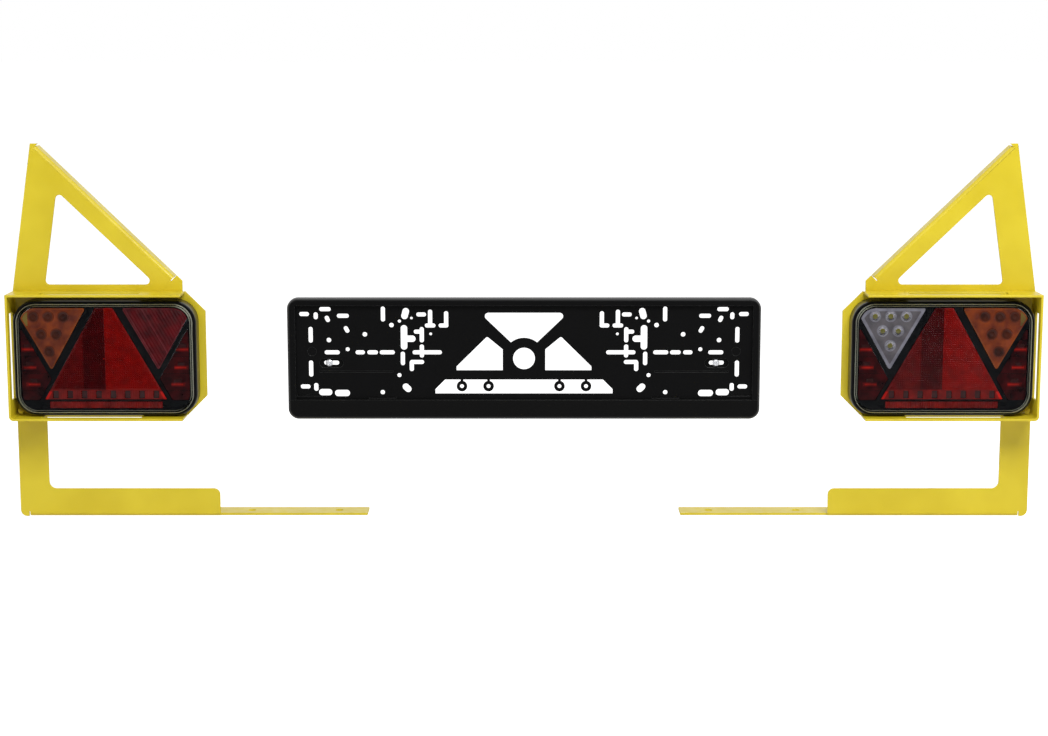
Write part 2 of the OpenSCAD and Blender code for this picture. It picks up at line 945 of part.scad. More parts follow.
// Base of the holder: a rim with a groove for the plate's edge round a slotted floor
module plate_holder_base() {
    inside_w = holder_w - 2 * holder_wall;
    inside_h = holder_h - 2 * holder_wall;
    seat_h = pocket_top - strip_edge;
    seat_mid = (pocket_top + strip_edge) / 2;
    color("#2a2a2c")
        at_holder()
            difference() {
                holder_form();
                difference() {
                    translate([0, 0, -past])
                        linear_extrude(floor_back + past)
                            round_rect(inside_w, inside_h, holder_r - holder_wall);
                    translate([0, 0, dish_back])
                        screw_dishes(floor_t);
                }
                translate([0, 0, dish_front])
                    screw_dishes(0);
                translate([0, 0, floor_front - mark_deep])
                    linear_extrude(holder_d)
                        floor_marks();
                translate([0, seat_mid - past / 2, floor_front + holder_d / 2])
                    cube([pocket_w, seat_h + past, holder_d], center = true);
                translate([0, seat_mid + undercut / 2, floor_front + (plate_t + 0.4) / 2])
                    cube([pocket_w + 2 * undercut, seat_h + undercut, plate_t + 0.4],
                         center = true);
                translate([0, strip_edge - holder_h / 2, floor_front + holder_d / 2])
                    cube([holder_w + 2 * past, holder_h, holder_d], center = true);
                translate([0, 0, -past])
                    linear_extrude(floor_front + 2 * past)
                        floor_openings();
            }
}

// Strip that snaps over the lower edge of the plate
module retaining_strip() {
    lip = 2.2;
    color("#242426")
        at_holder()
            difference() {
                intersection() {
                    holder_form();
                    translate([0, strip_edge - holder_h / 2, floor_front + holder_d / 2])
                        cube([holder_w + 2 * past, holder_h, holder_d], center = true);
                }
                translate([0, strip_edge - strip_h / 2, floor_front])
                    cube([holder_w - 2 * holder_r, strip_h - 2 * lip,
                          2 * (holder_d - floor_front - lip)], center = true);
            }
}

// Pan-head screws through the two fixing slots
module holder_screws() {
    color("silver")
        at_holder()
            for (x = screw_x)
                translate([x, screw_y, dish_front])
                    difference() {
                        union() {
                            cylinder(h = head_t * 0.5, r = head_r);
                            translate([0, 0, head_t * 0.5])
                                cylinder(h = head_t * 0.5, r1 = head_r, r2 = head_r * 0.6);
                            translate([0, 0, -screw_out])
                                cylinder(h = screw_out, r = screw_r);
                        }
                        for (a = [0, 90])
                            rotate([0, 0, a])
                                translate([0, 0, head_t])
                                    cube([head_r, 0.9, head_t], center = true);
                    }
}

module left_bracket_plate() on_left() bracket_plate();
module left_lamp_tray() on_left() lamp_tray();
module left_lamp_base() on_left() lamp_base();
module left_cover_seal() on_left() cover_seal();
module left_lamp_cover() on_left() lamp_cover();
module left_circuit_board() on_left() circuit_board();
module left_led_reflector() on_left() led_reflector();
module left_face_mask() on_left() face_mask();
module left_triangle_reflector() on_left() triangle_reflector();
module left_indicator_lens() color("#d8731c") on_left() wing_lens(1);
module left_fog_lens() color("#8a1420") on_left() wing_lens(-1);
module left_tail_lenses() on_left() tail_lenses();
module left_stop_strip() on_left() stop_strip();
module left_indicator_leds() color("#e0a040") on_left() wing_led_set(1);
module left_fog_leds() color("#c02020") on_left() wing_led_set(-1);
module left_tail_leds() on_left() tail_led_set();
module left_fixing_studs() on_left() fixing_studs();
module left_washers() on_left() washers();
module left_nuts() on_left() nuts();
module left_cable_gland() on_left() cable_gland();

module right_bracket_plate() bracket_plate();
module right_lamp_tray() lamp_tray();
module right_lamp_base() lamp_base();
module right_cover_seal() cover_seal();
module right_lamp_cover() lamp_cover();
module right_circuit_board() circuit_board();
module right_led_reflector() led_reflector();
module right_face_mask() face_mask();
module right_triangle_reflector() triangle_reflector();
module right_indicator_lens() color("#d8731c") wing_lens(1);
module right_reversing_lens() color("#d5d5da") wing_lens(-1);
module right_tail_lenses() tail_lenses();
module right_stop_strip() stop_strip();
module right_indicator_leds() color("#e0a040") wing_led_set(1);
module right_reversing_leds() color("#f2f2e6") wing_led_set(-1);
module right_tail_leds() tail_led_set();
module right_fixing_studs() fixing_studs();
module right_washers() washers();
module right_nuts() nuts();
module right_cable_gland() cable_gland();

left_bracket_plate();
left_lamp_tray();
left_lamp_base();
left_cover_seal();
left_lamp_cover();
left_circuit_board();
left_led_reflector();
left_face_mask();
left_triangle_reflector();
left_indicator_lens();
left_fog_lens();
left_tail_lenses();
left_stop_strip();
left_indicator_leds();
left_fog_leds();
left_tail_leds();
left_fixing_studs();
left_washers();
left_nuts();
left_cable_gland();
right_bracket_plate();
right_lamp_tray();
right_lamp_base();
right_cover_seal();
right_lamp_cover();
right_circuit_board();
right_led_reflector();
right_face_mask();
right_triangle_reflector();
right_indicator_lens();
right_reversing_lens();
right_tail_lenses();
right_stop_strip();
right_indicator_leds();
right_reversing_leds();
right_tail_leds();
right_fixing_studs();
right_washers();
right_nuts();
right_cable_gland();
plate_holder_base();
retaining_strip();
holder_screws();
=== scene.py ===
import math

import bmesh
import bpy
import numpy as np
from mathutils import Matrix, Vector
from mathutils.bvhtree import BVHTree


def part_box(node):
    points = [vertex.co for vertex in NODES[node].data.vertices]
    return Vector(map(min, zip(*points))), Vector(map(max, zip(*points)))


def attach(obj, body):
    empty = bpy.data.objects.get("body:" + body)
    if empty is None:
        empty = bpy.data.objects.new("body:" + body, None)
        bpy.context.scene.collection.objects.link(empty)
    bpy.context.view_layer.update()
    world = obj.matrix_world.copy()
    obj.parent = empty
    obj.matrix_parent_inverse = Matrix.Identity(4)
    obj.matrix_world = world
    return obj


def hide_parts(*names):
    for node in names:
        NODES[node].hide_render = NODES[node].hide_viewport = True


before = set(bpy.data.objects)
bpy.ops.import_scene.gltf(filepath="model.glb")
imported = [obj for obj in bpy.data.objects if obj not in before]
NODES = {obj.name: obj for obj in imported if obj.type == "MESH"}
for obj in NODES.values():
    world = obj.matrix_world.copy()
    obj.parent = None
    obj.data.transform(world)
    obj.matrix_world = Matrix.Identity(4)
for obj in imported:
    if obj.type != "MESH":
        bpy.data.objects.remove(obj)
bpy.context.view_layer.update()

MM = 0.001
SIDES = {"left": -1, "right": 1}

# The lamp's own frame: x outwards, y up, z towards the viewer, in millimetres from the
# middle of the tray's back plate. These are the places of part.scad.
MASK_LOW, MASK_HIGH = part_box("right_face_mask")
MID_X = (MASK_LOW.x + MASK_HIGH.x) / 2 / MM
MID_Z = (MASK_LOW.z + MASK_HIGH.z) / 2 / MM
BACK_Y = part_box("right_lamp_base")[1].y / MM
MASK_FRONT = BACK_Y - MASK_LOW.y / MM
MASK_BACK = BACK_Y - MASK_HIGH.y / MM
LENS_BACK = MASK_BACK - 2
LENS_FRONT = MASK_FRONT + 1
FACE_EDGE, FACE_CORNER = 1.2, 17.5
FACE_HALF = (MASK_HIGH.x - MASK_LOW.x) / 2 / MM
FACE_TOP = (MASK_HIGH.z - MASK_LOW.z) / 2 / MM - FACE_EDGE
TRI_TOP, TRI_BASE, TRI_FOOT = 10, -46, FACE_HALF - 26.5
SLOPE = (TRI_FOOT - TRI_TOP) / (FACE_TOP - TRI_BASE)
WING_IN = TRI_TOP + 9.5
WING_HALF = (FACE_HALF + 4.5 - WING_IN) / 2
WING_MID = WING_IN + WING_HALF
STRIP_TOP, STRIP_LOW, STRIP_HALF = TRI_BASE - 2.3, 1 - FACE_TOP, TRI_FOOT - 5.2
STOP_ROW, STOP_PITCH = TRI_BASE + 5.5, 2 * (TRI_FOOT - 12.2) / 7
GAP = 0.3


# Small helpers for shader nodes

NOISE = "ShaderNodeTexNoise"
RANGE = "ShaderNodeMapRange"
MIX = "ShaderNodeMix"
BUMP = "ShaderNodeBump"
MATH = "ShaderNodeMath"


def linear(hex_colour):
    """An sRGB hex colour as linear red, green, blue and an alpha of 1. Each channel c is
    c / 12.92 up to 0.04045 and ((c + 0.055) / 1.055) to the power 2.4 above it."""
    c = np.array([int(hex_colour[i:i + 2], 16) for i in (1, 3, 5)]) / 255
    c = np.where(c <= 0.04045, c / 12.92, ((c + 0.055) / 1.055) ** 2.4)
    return (*c, 1.0)


def feed(tree, node, inputs):
    """Gives sockets of a node, by name or number, what inputs says: a value, an output, or a
    node whose first output is meant."""
    for key, value in inputs.items():
        if isinstance(value, bpy.types.Node):
            value = value.outputs[0]
        if isinstance(value, bpy.types.NodeSocket):
            tree.links.new(value, node.inputs[key])
        else:
            node.inputs[key].default_value = value


def add(tree, kind, inputs=None, **settings):
    """Adds a shader node with its own properties from settings and its sockets from inputs."""
    node = tree.nodes.new(kind)
    for name, value in settings.items():
        setattr(node, name, value)
    feed(tree, node, inputs or {})
    return node


def finish_of(name, colour, roughness, **sockets):
    """A new material with one Principled shader. Returns the material, its node tree, the
    shader and the Object coordinates."""
    made = bpy.data.materials.new(name)
    made.use_nodes = True
    tree = made.node_tree
    tree.nodes.clear()
    inputs = {"Base Color": linear(colour), "Roughness": roughness}
    inputs.update({key.replace("_", " "): value for key, value in sockets.items()})
    shader = add(tree, "ShaderNodeBsdfPrincipled", inputs)
    add(tree, "ShaderNodeOutputMaterial", {"Surface": shader})
    place = add(tree, "ShaderNodeTexCoord").outputs["Object"]
    return made, tree, shader, place


# Materials. A noise's scale is one over the size of its features in metres.

def powder_coat():
    """Polyester powder coat on steel: sprayed dry and baked, so it has a low orange peel about
    2 mm across, an even satin gloss and a few rubbed spots."""
    made, tree, shader, place = finish_of("powder_coat_yellow", "#DFC828", 0.36)
    cloud = add(tree, NOISE, {"Vector": place, "Scale": 1 / (60 * MM)})
    cloud = add(tree, RANGE, {0: cloud, 1: 0.35, 2: 0.65})
    rubbed = add(tree, NOISE, {"Vector": place, "Scale": 1 / (9 * MM), "Detail": 4})
    rubbed = add(tree, RANGE, {0: rubbed, 1: 0.4, 2: 0.7})
    peel = add(tree, NOISE, {"Vector": place, "Scale": 1 / (2.2 * MM), "Detail": 1})
    feed(tree, shader, {
        "Base Color": add(tree, MIX, {0: cloud, 6: linear("#DAC322"), 7: linear("#E4CE2C")},
                          data_type="RGBA").outputs[2],
        "Roughness": add(tree, RANGE, {0: rubbed, 3: 0.3, 4: 0.42}),
        "Normal": add(tree, BUMP, {"Height": peel, "Distance": 0.02 * MM, "Strength": 0.5})})
    return made


def moulded_plastic(name, colour, roughness, gloss, clouds, worn, grain, depth, strength):
    """Injection-moulded black plastic: flow clouds in its roughness, clouds metres across and
    within worn, and the mould's grain. Its gloss runs from the first to the second of gloss as
    the surface turns away from the eye, so that rounded edges catch the sky."""
    made, tree, shader, place = finish_of(name, colour, roughness)
    turned = add(tree, "ShaderNodeLayerWeight", {"Blend": 0.5}).outputs["Facing"]
    flow = add(tree, NOISE, {"Vector": place, "Scale": 1 / clouds, "Detail": 3})
    grain = add(tree, NOISE, {"Vector": place, "Scale": 1 / grain, "Detail": 1})
    feed(tree, shader, {
        "Specular IOR Level": add(tree, RANGE, {0: turned, 1: 0.06, 2: 0.3,
                                                3: gloss[0], 4: gloss[1]}),
        "Roughness": add(tree, RANGE, {0: flow, 3: worn[0], 4: worn[1]}),
        "Normal": add(tree, BUMP, {"Height": grain, "Distance": depth, "Strength": strength})})
    return made, tree, shader, place


def moulded_abs():
    """Moulded ABS: the lamp's black base, with a fine satin surface from the mould."""
    return moulded_plastic("moulded_abs_black", "#08080A", 0.3, (0.08, 0.7), 12 * MM,
                           (0.24, 0.36), 0.7 * MM, 0.01 * MM, 0.4)[0]


def grained_polypropylene():
    """Polypropylene: the plate holder, with a spark-eroded grain of about 0.8 mm and a slight
    change of shade that follows the flow from the gate."""
    made, tree, shader, place = moulded_plastic(
        "polypropylene_grained", "#0A0A0B", 0.42, (0.07, 1.0), 18 * MM, (0.36, 0.48),
        0.8 * MM, 0.02 * MM, 0.6)
    cloud = add(tree, NOISE, {"Vector": place, "Scale": 1 / (40 * MM), "Detail": 3})
    feed(tree, shader, {
        "Base Color": add(tree, MIX, {0: cloud, 6: linear("#080808"), 7: linear("#0D0D0E")},
                          data_type="RGBA").outputs[2]})
    return made


def satin_polypropylene():
    """The snap-on strip: the same plastic from a smoother mould."""
    return moulded_plastic("polypropylene_satin", "#0B0B0B", 0.38, (0.08, 0.8), 25 * MM,
                           (0.34, 0.46), 1.2 * MM, 0.008 * MM, 0.4)[0]


def clear_polycarbonate():
    """Polished polycarbonate: the cover. It is water clear where the eye meets it squarely, and
    turns opaque in a pale colour as its surface turns away: a painted highlight that draws a pale
    rim along its rounded edge."""
    made, tree, shader, place = finish_of("polycarbonate_clear", "#CFD2BE", 0.06)
    turned = add(tree, "ShaderNodeLayerWeight", {"Blend": 0.5}).outputs["Facing"]
    haze = add(tree, NOISE, {"Vector": place, "Scale": 1 / (30 * MM), "Detail": 3})
    haze = add(tree, RANGE, {0: haze, 1: 0.4, 2: 0.8})
    feed(tree, shader, {
        # The pale base colour that shows at grazing angles is a painted highlight: the rim line.
        "Alpha": add(tree, RANGE, {0: turned, 1: 0.3, 2: 0.8, 3: 0.0, 4: 0.9}),
        "Roughness": add(tree, RANGE, {0: haze, 3: 0.04, 4: 0.1})})
    return made


def tinted_lens(name, colour, deep, alpha=1.0):
    """Moulded acrylic in a signal colour, polished in front and stippled behind, so that what
    lies behind it shows softly."""
    made, tree, shader, place = finish_of(name, colour, 0.07, Specular_IOR_Level=0.2,
                                          Alpha=alpha)
    cloud = add(tree, NOISE, {"Vector": place, "Scale": 1 / (14 * MM), "Detail": 3})
    cloud = add(tree, RANGE, {0: cloud, 1: 0.35, 2: 0.65})
    stipple = add(tree, NOISE, {"Vector": place, "Scale": 1 / (3 * MM), "Detail": 1})
    feed(tree, shader, {
        "Base Color": add(tree, MIX, {0: cloud, 6: linear(colour), 7: linear(deep)},
                          data_type="RGBA").outputs[2],
        "Normal": add(tree, BUMP, {"Height": stipple, "Distance": 0.05 * MM,
                                   "Strength": 0.35})})
    return made


def reflex_acrylic(name, first, second):
    """Red acrylic with moulded prisms, two flat reds mixed by a noise. Its darker and brighter
    copies are painted shade and painted highlight, standing for where the prisms turn light away
    and where they send it back."""
    made, tree, shader, place = finish_of(name, first, 0.2, Specular_IOR_Level=0.12)
    cloud = add(tree, NOISE, {"Vector": place, "Scale": 1 / (10 * MM), "Detail": 3})
    cloud = add(tree, RANGE, {0: cloud, 1: 0.35, 2: 0.65})
    feed(tree, shader, {
        "Base Color": add(tree, MIX, {0: cloud, 6: linear(first), 7: linear(second)},
                          data_type="RGBA").outputs[2]})
    return made


def plain(name, colour, roughness, grain, depth, **sockets):
    """A moulded, cast or plated surface that shows only its colour and a light grain."""
    made, tree, shader, place = finish_of(name, colour, roughness, **sockets)
    worn = add(tree, NOISE, {"Vector": place, "Scale": 1 / (6 * grain), "Detail": 2})
    grain = add(tree, NOISE, {"Vector": place, "Scale": 1 / grain, "Detail": 1})
    feed(tree, shader, {
        "Roughness": add(tree, RANGE, {0: worn, 3: max(roughness - 0.05, 0),
                                       4: roughness + 0.06}),
        "Normal": add(tree, BUMP, {"Height": grain, "Distance": depth, "Strength": 0.5})})
    return made


def zinc_plate(name, thread=False):
    """Bright zinc on steel: a bluish metal with a fine crystalline mottle. A thread is a wave
    along Y with a pitch of 1 mm, whose texture repeats every pi / 10 over its scale."""
    made, tree, shader, place = finish_of(name, "#E4E6EA", 0.24, Metallic=0.55)
    cloud = add(tree, NOISE, {"Vector": place, "Scale": 1 / (4 * MM), "Detail": 3})
    worn = add(tree, NOISE, {"Vector": place, "Scale": 1 / (4 * MM), "Detail": 2})
    feed(tree, shader, {
        "Base Color": add(tree, MIX, {0: cloud, 6: linear("#DCDEE4"), 7: linear("#F0F1F4")},
                          data_type="RGBA").outputs[2],
        "Roughness": add(tree, RANGE, {0: worn, 3: 0.2, 4: 0.32})})
    if thread:
        wave = add(tree, "ShaderNodeTexWave", {"Vector": place, "Scale": math.pi / 10 / MM},
                   bands_direction="Y").outputs["Fac"]
        feed(tree, shader, {
            "Normal": add(tree, BUMP, {"Height": wave, "Distance": 0.4 * MM,
                                       "Strength": 1.0})})
    return made


def solder_mask():
    """Green solder mask over glass-fibre board."""
    made, tree, shader, place = finish_of("solder_mask_green", "#12402A", 0.35)
    cloud = add(tree, NOISE, {"Vector": place, "Scale": 1 / (6 * MM), "Detail": 2})
    cloud = add(tree, RANGE, {0: cloud, 1: 0.45, 2: 0.55})
    feed(tree, shader, {
        "Base Color": add(tree, MIX, {0: cloud, 6: linear("#0F3824"), 7: linear("#1A5236")},
                          data_type="RGBA").outputs[2]})
    return made


PAINT = powder_coat()
ABS = moulded_abs()
GRAINED = grained_polypropylene()
SATIN = satin_polypropylene()
CLEAR = clear_polycarbonate()
CLEAR_LENS = tinted_lens("acrylic_clear", "#6C686C", "#565258", 0.85)
FROSTED = tinted_lens("acrylic_frosted", "#85848F", "#6A6974")
AMBER = tinted_lens("acrylic_amber", "#83340C", "#561E0A")
AMBER_EDGE = tinted_lens("acrylic_amber_thin", "#884012", "#6C2E0E")
AMBER_CUP = tinted_lens("acrylic_amber_cup", "#481C0C", "#2C100A")
AMBER_RING = tinted_lens("acrylic_amber_ring", "#66290F", "#461B0C")
# A yellowish amber for the indicator lens's outer corner: a painted reflection.
AMBER_PAINTED_REFLECTION = tinted_lens("acrylic_amber_painted_reflection", "#75642A", "#55441C")
FOG_RED = tinted_lens("acrylic_fog_red", "#5E0A12", "#3A060C")
# A lighter red for the fog lens's border and for its two streaks, which are painted highlights.
FOG_STREAK = tinted_lens("acrylic_fog_bright", "#6C242C", "#52171D")
TAIL_RED = tinted_lens("acrylic_tail_red", "#3C0A0D", "#1C0508")
# Lighter reds under each LED window of the end lenses: a painted highlight band and line, not a
# glow.
TAIL_HIGHLIGHT_BAND = tinted_lens("acrylic_tail_painted_highlight_band", "#641010", "#3C090B")
TAIL_HIGHLIGHT_LINE = tinted_lens("acrylic_tail_painted_highlight_line", "#A01C14", "#6A110E")
# Lit and shaded copies of one red acrylic for the reflector's panels: painted highlight, painted
# half shade and painted shade.
PRISMS_PAINTED_HIGHLIGHT = reflex_acrylic("acrylic_prisms_painted_highlight", "#850D0A", "#700908")
PRISMS_PAINTED_HALF_SHADE = reflex_acrylic("acrylic_prisms_painted_half_shade", "#5E0C0D", "#4E090B")
PRISMS_PAINTED_SHADE = reflex_acrylic("acrylic_prisms_painted_shade", "#450508", "#380406")
BAND_RED = reflex_acrylic("acrylic_band_red", "#7C1815", "#5A100F")
# A brighter red for painted highlights: the slanted edges at the triangle's foot and the pip.
BAND_PAINTED_HIGHLIGHT = reflex_acrylic("acrylic_band_painted_highlight", "#C41A12", "#A0140F")
DARK_WINDOW = plain("acrylic_window_dark", "#2E0B0D", 0.2, 2 * MM, 0.02 * MM,
                    Specular_IOR_Level=0.3)
GLOSS_BLACK = plain("abs_gloss_black", "#07090C", 0.16, 2 * MM, 0.004 * MM,
                    Specular_IOR_Level=0.08)
CUP_CHROME = plain("aluminium_on_cups", "#8C8A90", 0.16, 1.2 * MM, 0.4 * MM, Metallic=1.0)
CUP_LED = plain("phosphor_behind_acrylic", "#66622A", 0.2, 1 * MM, 0.01 * MM)
CUP_DARK = tinted_lens("acrylic_cup_dark", "#3E0A10", "#28060A")
RUBBER = plain("epdm_rubber", "#0C0C0E", 0.62, 1 * MM, 0.03 * MM,
               Specular_IOR_Level=0.15)
CHROME = plain("aluminium_on_abs", "#D9DADE", 0.12, 3 * MM, 0.01 * MM, Metallic=1.0)
BOARD = solder_mask()
AMBER_LED = plain("epoxy_amber", "#B97A2C", 0.12, 1 * MM, 0.002 * MM)
RED_LED = plain("epoxy_red", "#7A2222", 0.12, 1 * MM, 0.002 * MM)
WHITE_LED = plain("epoxy_on_phosphor", "#C6C07E", 0.12, 1 * MM, 0.002 * MM)
ZINC = zinc_plate("bright_zinc_on_steel")
THREAD = zinc_plate("bright_zinc_on_thread", thread=True)


# Small helpers for meshes

SAME_POINT = 0.002 * MM
FLAT = math.radians(0.5)
STRAY = 0.2 * MM


def sharpen(mesh, degrees):
    """Smooth shading, apart from edges that turn by more than the angle."""
    mesh.shade_smooth()
    mesh.set_sharp_from_angle(angle=math.radians(degrees))


def piece(name, mesh, slot, *skins):
    made = bpy.data.objects.new(name, mesh)
    bpy.context.scene.collection.objects.link(made)
    mesh.materials.clear()
    for skin in skins:
        mesh.materials.append(skin)
    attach(made, "root")
    return made


def round_edges(made, width, degrees):
    """Rounds a piece's edges by width metres. Where a short edge meets a long one almost in
    line, a rounding can shoot out of the piece, so every rounded point is measured against
    the unrounded surface, and the edges round the corner nearest to each point that lies
    more than 0.2 mm from it stay sharp. That is repeated until no point does. A sound
    rounding lies up to 0.11 mm from it, inside at an outer edge and outside at an inner one."""
    mesh = made.data
    form = bmesh.new()
    form.from_mesh(mesh)
    tree = BVHTree.FromBMesh(form)
    turn = math.radians(degrees)
    weight = np.array([e.calc_face_angle(0) > turn for e in form.edges], np.float32)
    form.free()
    ends = np.empty(2 * len(mesh.edges), np.int32)
    mesh.edges.foreach_get("vertices", ends)
    ends = ends.reshape(-1, 2)
    corners = np.empty(3 * len(mesh.vertices), np.float32)
    mesh.vertices.foreach_get("co", corners)
    corners = corners.reshape(-1, 3)
    chosen = mesh.attributes.new("bevel_weight_edge", "FLOAT", "EDGE")
    edge = made.modifiers.new("rounded_edges", "BEVEL")
    edge.width = width
    edge.segments = 2
    edge.limit_method = "WEIGHT"
    edge.use_clamp_overlap = False
    edge.harden_normals = True
    for _ in range(8):
        chosen.data.foreach_set("value", weight)
        mesh.update()
        result = made.evaluated_get(bpy.context.evaluated_depsgraph_get())
        points = [v.co.copy() for v in result.to_mesh().vertices]
        result.to_mesh_clear()
        strays = [np.array(v) for v in points if tree.find_nearest(v)[3] > STRAY]
        if not strays:
            break
        nearest = [np.linalg.norm(corners - v, axis=1).argmin() for v in strays]
        weight[np.isin(ends, nearest).any(1)] = 0


def soften(node, slot, skin, width, degrees=30):
    """A copy of a rigid node with its loose triangles joined, its flat faces made whole and
    its edges rounded by width metres, as a cut, folded or moulded edge is."""
    source = NODES[node]
    mesh = source.data.copy()
    form = bmesh.new()
    form.from_mesh(mesh)
    bmesh.ops.remove_doubles(form, verts=form.verts, dist=SAME_POINT)
    bmesh.ops.dissolve_limit(form, angle_limit=FLAT, verts=form.verts, edges=form.edges)
    form.to_mesh(mesh)
    form.free()
    made = piece(node + "_finished", mesh, slot, skin)
    sharpen(mesh, degrees)
    if width:
        round_edges(made, width, degrees)
    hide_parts(node)
    return made


def dress(node, skin):
    """Gives a node that keeps its own mesh its material."""
    mesh = NODES[node].data
    mesh.materials.clear()
    mesh.materials.append(skin)


def join(*parts):
    """Several (points, faces) made one: the faces of each are counted on from the last."""
    points, faces, count = [], [], 0
    for p, f in parts:
        points.append(p)
        faces += [[i + count for i in face] for face in f]
        count += len(p)
    return np.concatenate(points), faces


def lamp_piece(name, side, slot, part, *skins, index=None, degrees=30):
    """A piece from points in the lamp's own frame. On the right, X is the lamp's middle plus
    x, Y is the back plane less z, and Z is the middle plus y. On the left X changes its sign,
    so the faces run the other way round."""
    p, faces = part
    s = SIDES[side]
    place = np.stack([s * (MID_X + p[:, 0]), BACK_Y - p[:, 2], MID_Z + p[:, 1]], 1) * MM
    if s < 0:
        faces = [face[::-1] for face in faces]
    mesh = bpy.data.meshes.new(side + name)
    mesh.from_pydata(place.tolist(), [], faces)
    made = piece(side + name, mesh, slot, *skins)
    if index is not None:
        mesh.polygons.foreach_set("material_index", np.asarray(index, np.int32))
    sharpen(mesh, degrees)
    return made


def grid_faces(rows, columns):
    """Quads of a grid of points stored row by row, anticlockwise seen from +z."""
    i = (np.arange(rows - 1)[:, None] * columns + np.arange(columns - 1)).ravel()
    return np.stack([i, i + 1, i + columns + 1, i + columns], 1)


def rounded(corners, radius, steps=7):
    """A polygon whose corners are arcs that touch both edges. Each arc's points are the
    centre plus the start and end arms mixed by sin((1 - t) w) and sin(t w) over sin w."""
    p = np.array(corners, float)
    u = np.roll(p, 1, 0) - p
    v = np.roll(p, -1, 0) - p
    u /= np.linalg.norm(u, axis=1, keepdims=True)
    v /= np.linalg.norm(v, axis=1, keepdims=True)
    half = np.arccos(np.sum(u * v, 1)) / 2
    inward = (u + v) / np.linalg.norm(u + v, axis=1, keepdims=True)
    mid = p + inward * (radius / np.sin(half))[:, None]
    start = p + u * (radius / np.tan(half))[:, None] - mid
    end = p + v * (radius / np.tan(half))[:, None] - mid
    w = (math.pi - 2 * half)[:, None, None]
    t = np.linspace(0, 1, steps)[None, :, None]
    arcs = (np.sin((1 - t) * w) * start[:, None] + np.sin(t * w) * end[:, None]) / np.sin(w)
    return (arcs + mid[:, None]).reshape(-1, 2)


def inset(corners, d):
    """An anticlockwise convex polygon with every edge moved inwards by d: each corner moves
    by d (n + m) / (1 + n . m) against its two edges' outward normals n and m."""
    p = np.array(corners, float)
    e = np.roll(p, -1, 0) - p
    e /= np.linalg.norm(e, axis=1, keepdims=True)
    m = np.stack([e[:, 1], -e[:, 0]], 1)
    n = np.roll(m, 1, 0)
    return p - d * (n + m) / (1 + np.sum(n * m, 1))[:, None]


def reach(outline, rows):
    """The left and right ends of a convex anticlockwise outline at each row's height."""
    p = np.roll(outline, -np.argmin(outline[:, 1] - 1e-6 * outline[:, 0]), 0)
    top = np.argmax(p[:, 1] + 1e-6 * p[:, 0])
    right = np.interp(rows, p[:top + 1, 1], p[:top + 1, 0])
    back = np.concatenate([p[top:], p[:1]])[::-1]
    left = np.interp(rows, back[:, 1], back[:, 0])
    return left, right


def in_face(rows, left, right, d=0.0):
    """Keeps a field inside the face's rounded rectangle, moved inwards by d. Its half width
    at height y is the straight half width plus the root of r squared less the height above
    the corner's centre squared."""
    r = FACE_CORNER - d
    wide, high = FACE_HALF - FACE_EDGE - d, FACE_TOP - d
    above = np.clip(np.abs(rows) - (high - r), 0, r)
    half = wide - r + np.sqrt(r * r - above * above)
    return np.clip(left, -half, half), np.clip(right, -half, half)


def relief(outline, low, high, rows, columns, front, back=None, clip=None):
    """A closed body over a convex outline. Its front is a grid whose rows run from low to
    high, with columns from the outline's left end to its right end, at the height front(x, y),
    and its back is the same grid at the height back."""
    y = np.linspace(low, high, rows)
    left, right = reach(outline, y)
    if clip is not None:
        left, right = in_face(y, left, right, clip)
    t = np.linspace(0, 1, columns)
    x = left[:, None] + (right - left)[:, None] * t
    y = np.repeat(y[:, None], columns, 1)
    z = front(x, y)
    flat = np.full_like(x, LENS_BACK + 0.1 if back is None else back)
    points = np.concatenate([np.stack([x, y, z], 2).reshape(-1, 3),
                             np.stack([x, y, flat], 2).reshape(-1, 3)])
    n = rows * columns
    top = grid_faces(rows, columns)
    rim = np.concatenate([np.arange(columns), np.arange(1, rows) * columns + columns - 1,
                          n - 2 - np.arange(columns - 1),
                          (rows - 2 - np.arange(rows - 2)) * columns])
    after = np.roll(rim, -1)
    side = np.stack([rim, rim + n, after + n, after], 1)
    under = top[:, ::-1] + n
    mid = points[top].mean(1)
    return (points, np.concatenate([top, side, under]).tolist()), mid, len(side) + len(under)


def lathe(profile, around=32):
    """A closed profile of (radius, height) turned about z: each point goes to radius cos a,
    radius sin a, height at every angle a."""
    p = np.array(profile, float)
    a = np.linspace(0, 2 * math.pi, around, endpoint=False)
    x = p[:, 0][None, :] * np.cos(a)[:, None]
    y = p[:, 0][None, :] * np.sin(a)[:, None]
    z = np.repeat(p[:, 1][None, :], around, 0)
    i, j = np.meshgrid(np.arange(around), np.arange(len(p)), indexing="ij")
    k, m = (i + 1) % around, (j + 1) % len(p)
    n = len(p)
    faces = np.stack([i * n + j, k * n + j, k * n + m, i * n + m], 2).reshape(-1, 4)
    return np.stack([x, y, z], 2).reshape(-1, 3), faces.tolist()


def shifted(part, x, y, z=0.0):
    """The same points and faces, each point moved by x, y and z."""
    return part[0] + [x, y, z], part[1]


# The lamp's face, all in the lamp's own frame. WINDOW, WELL_X and WELL_Y are half sizes.

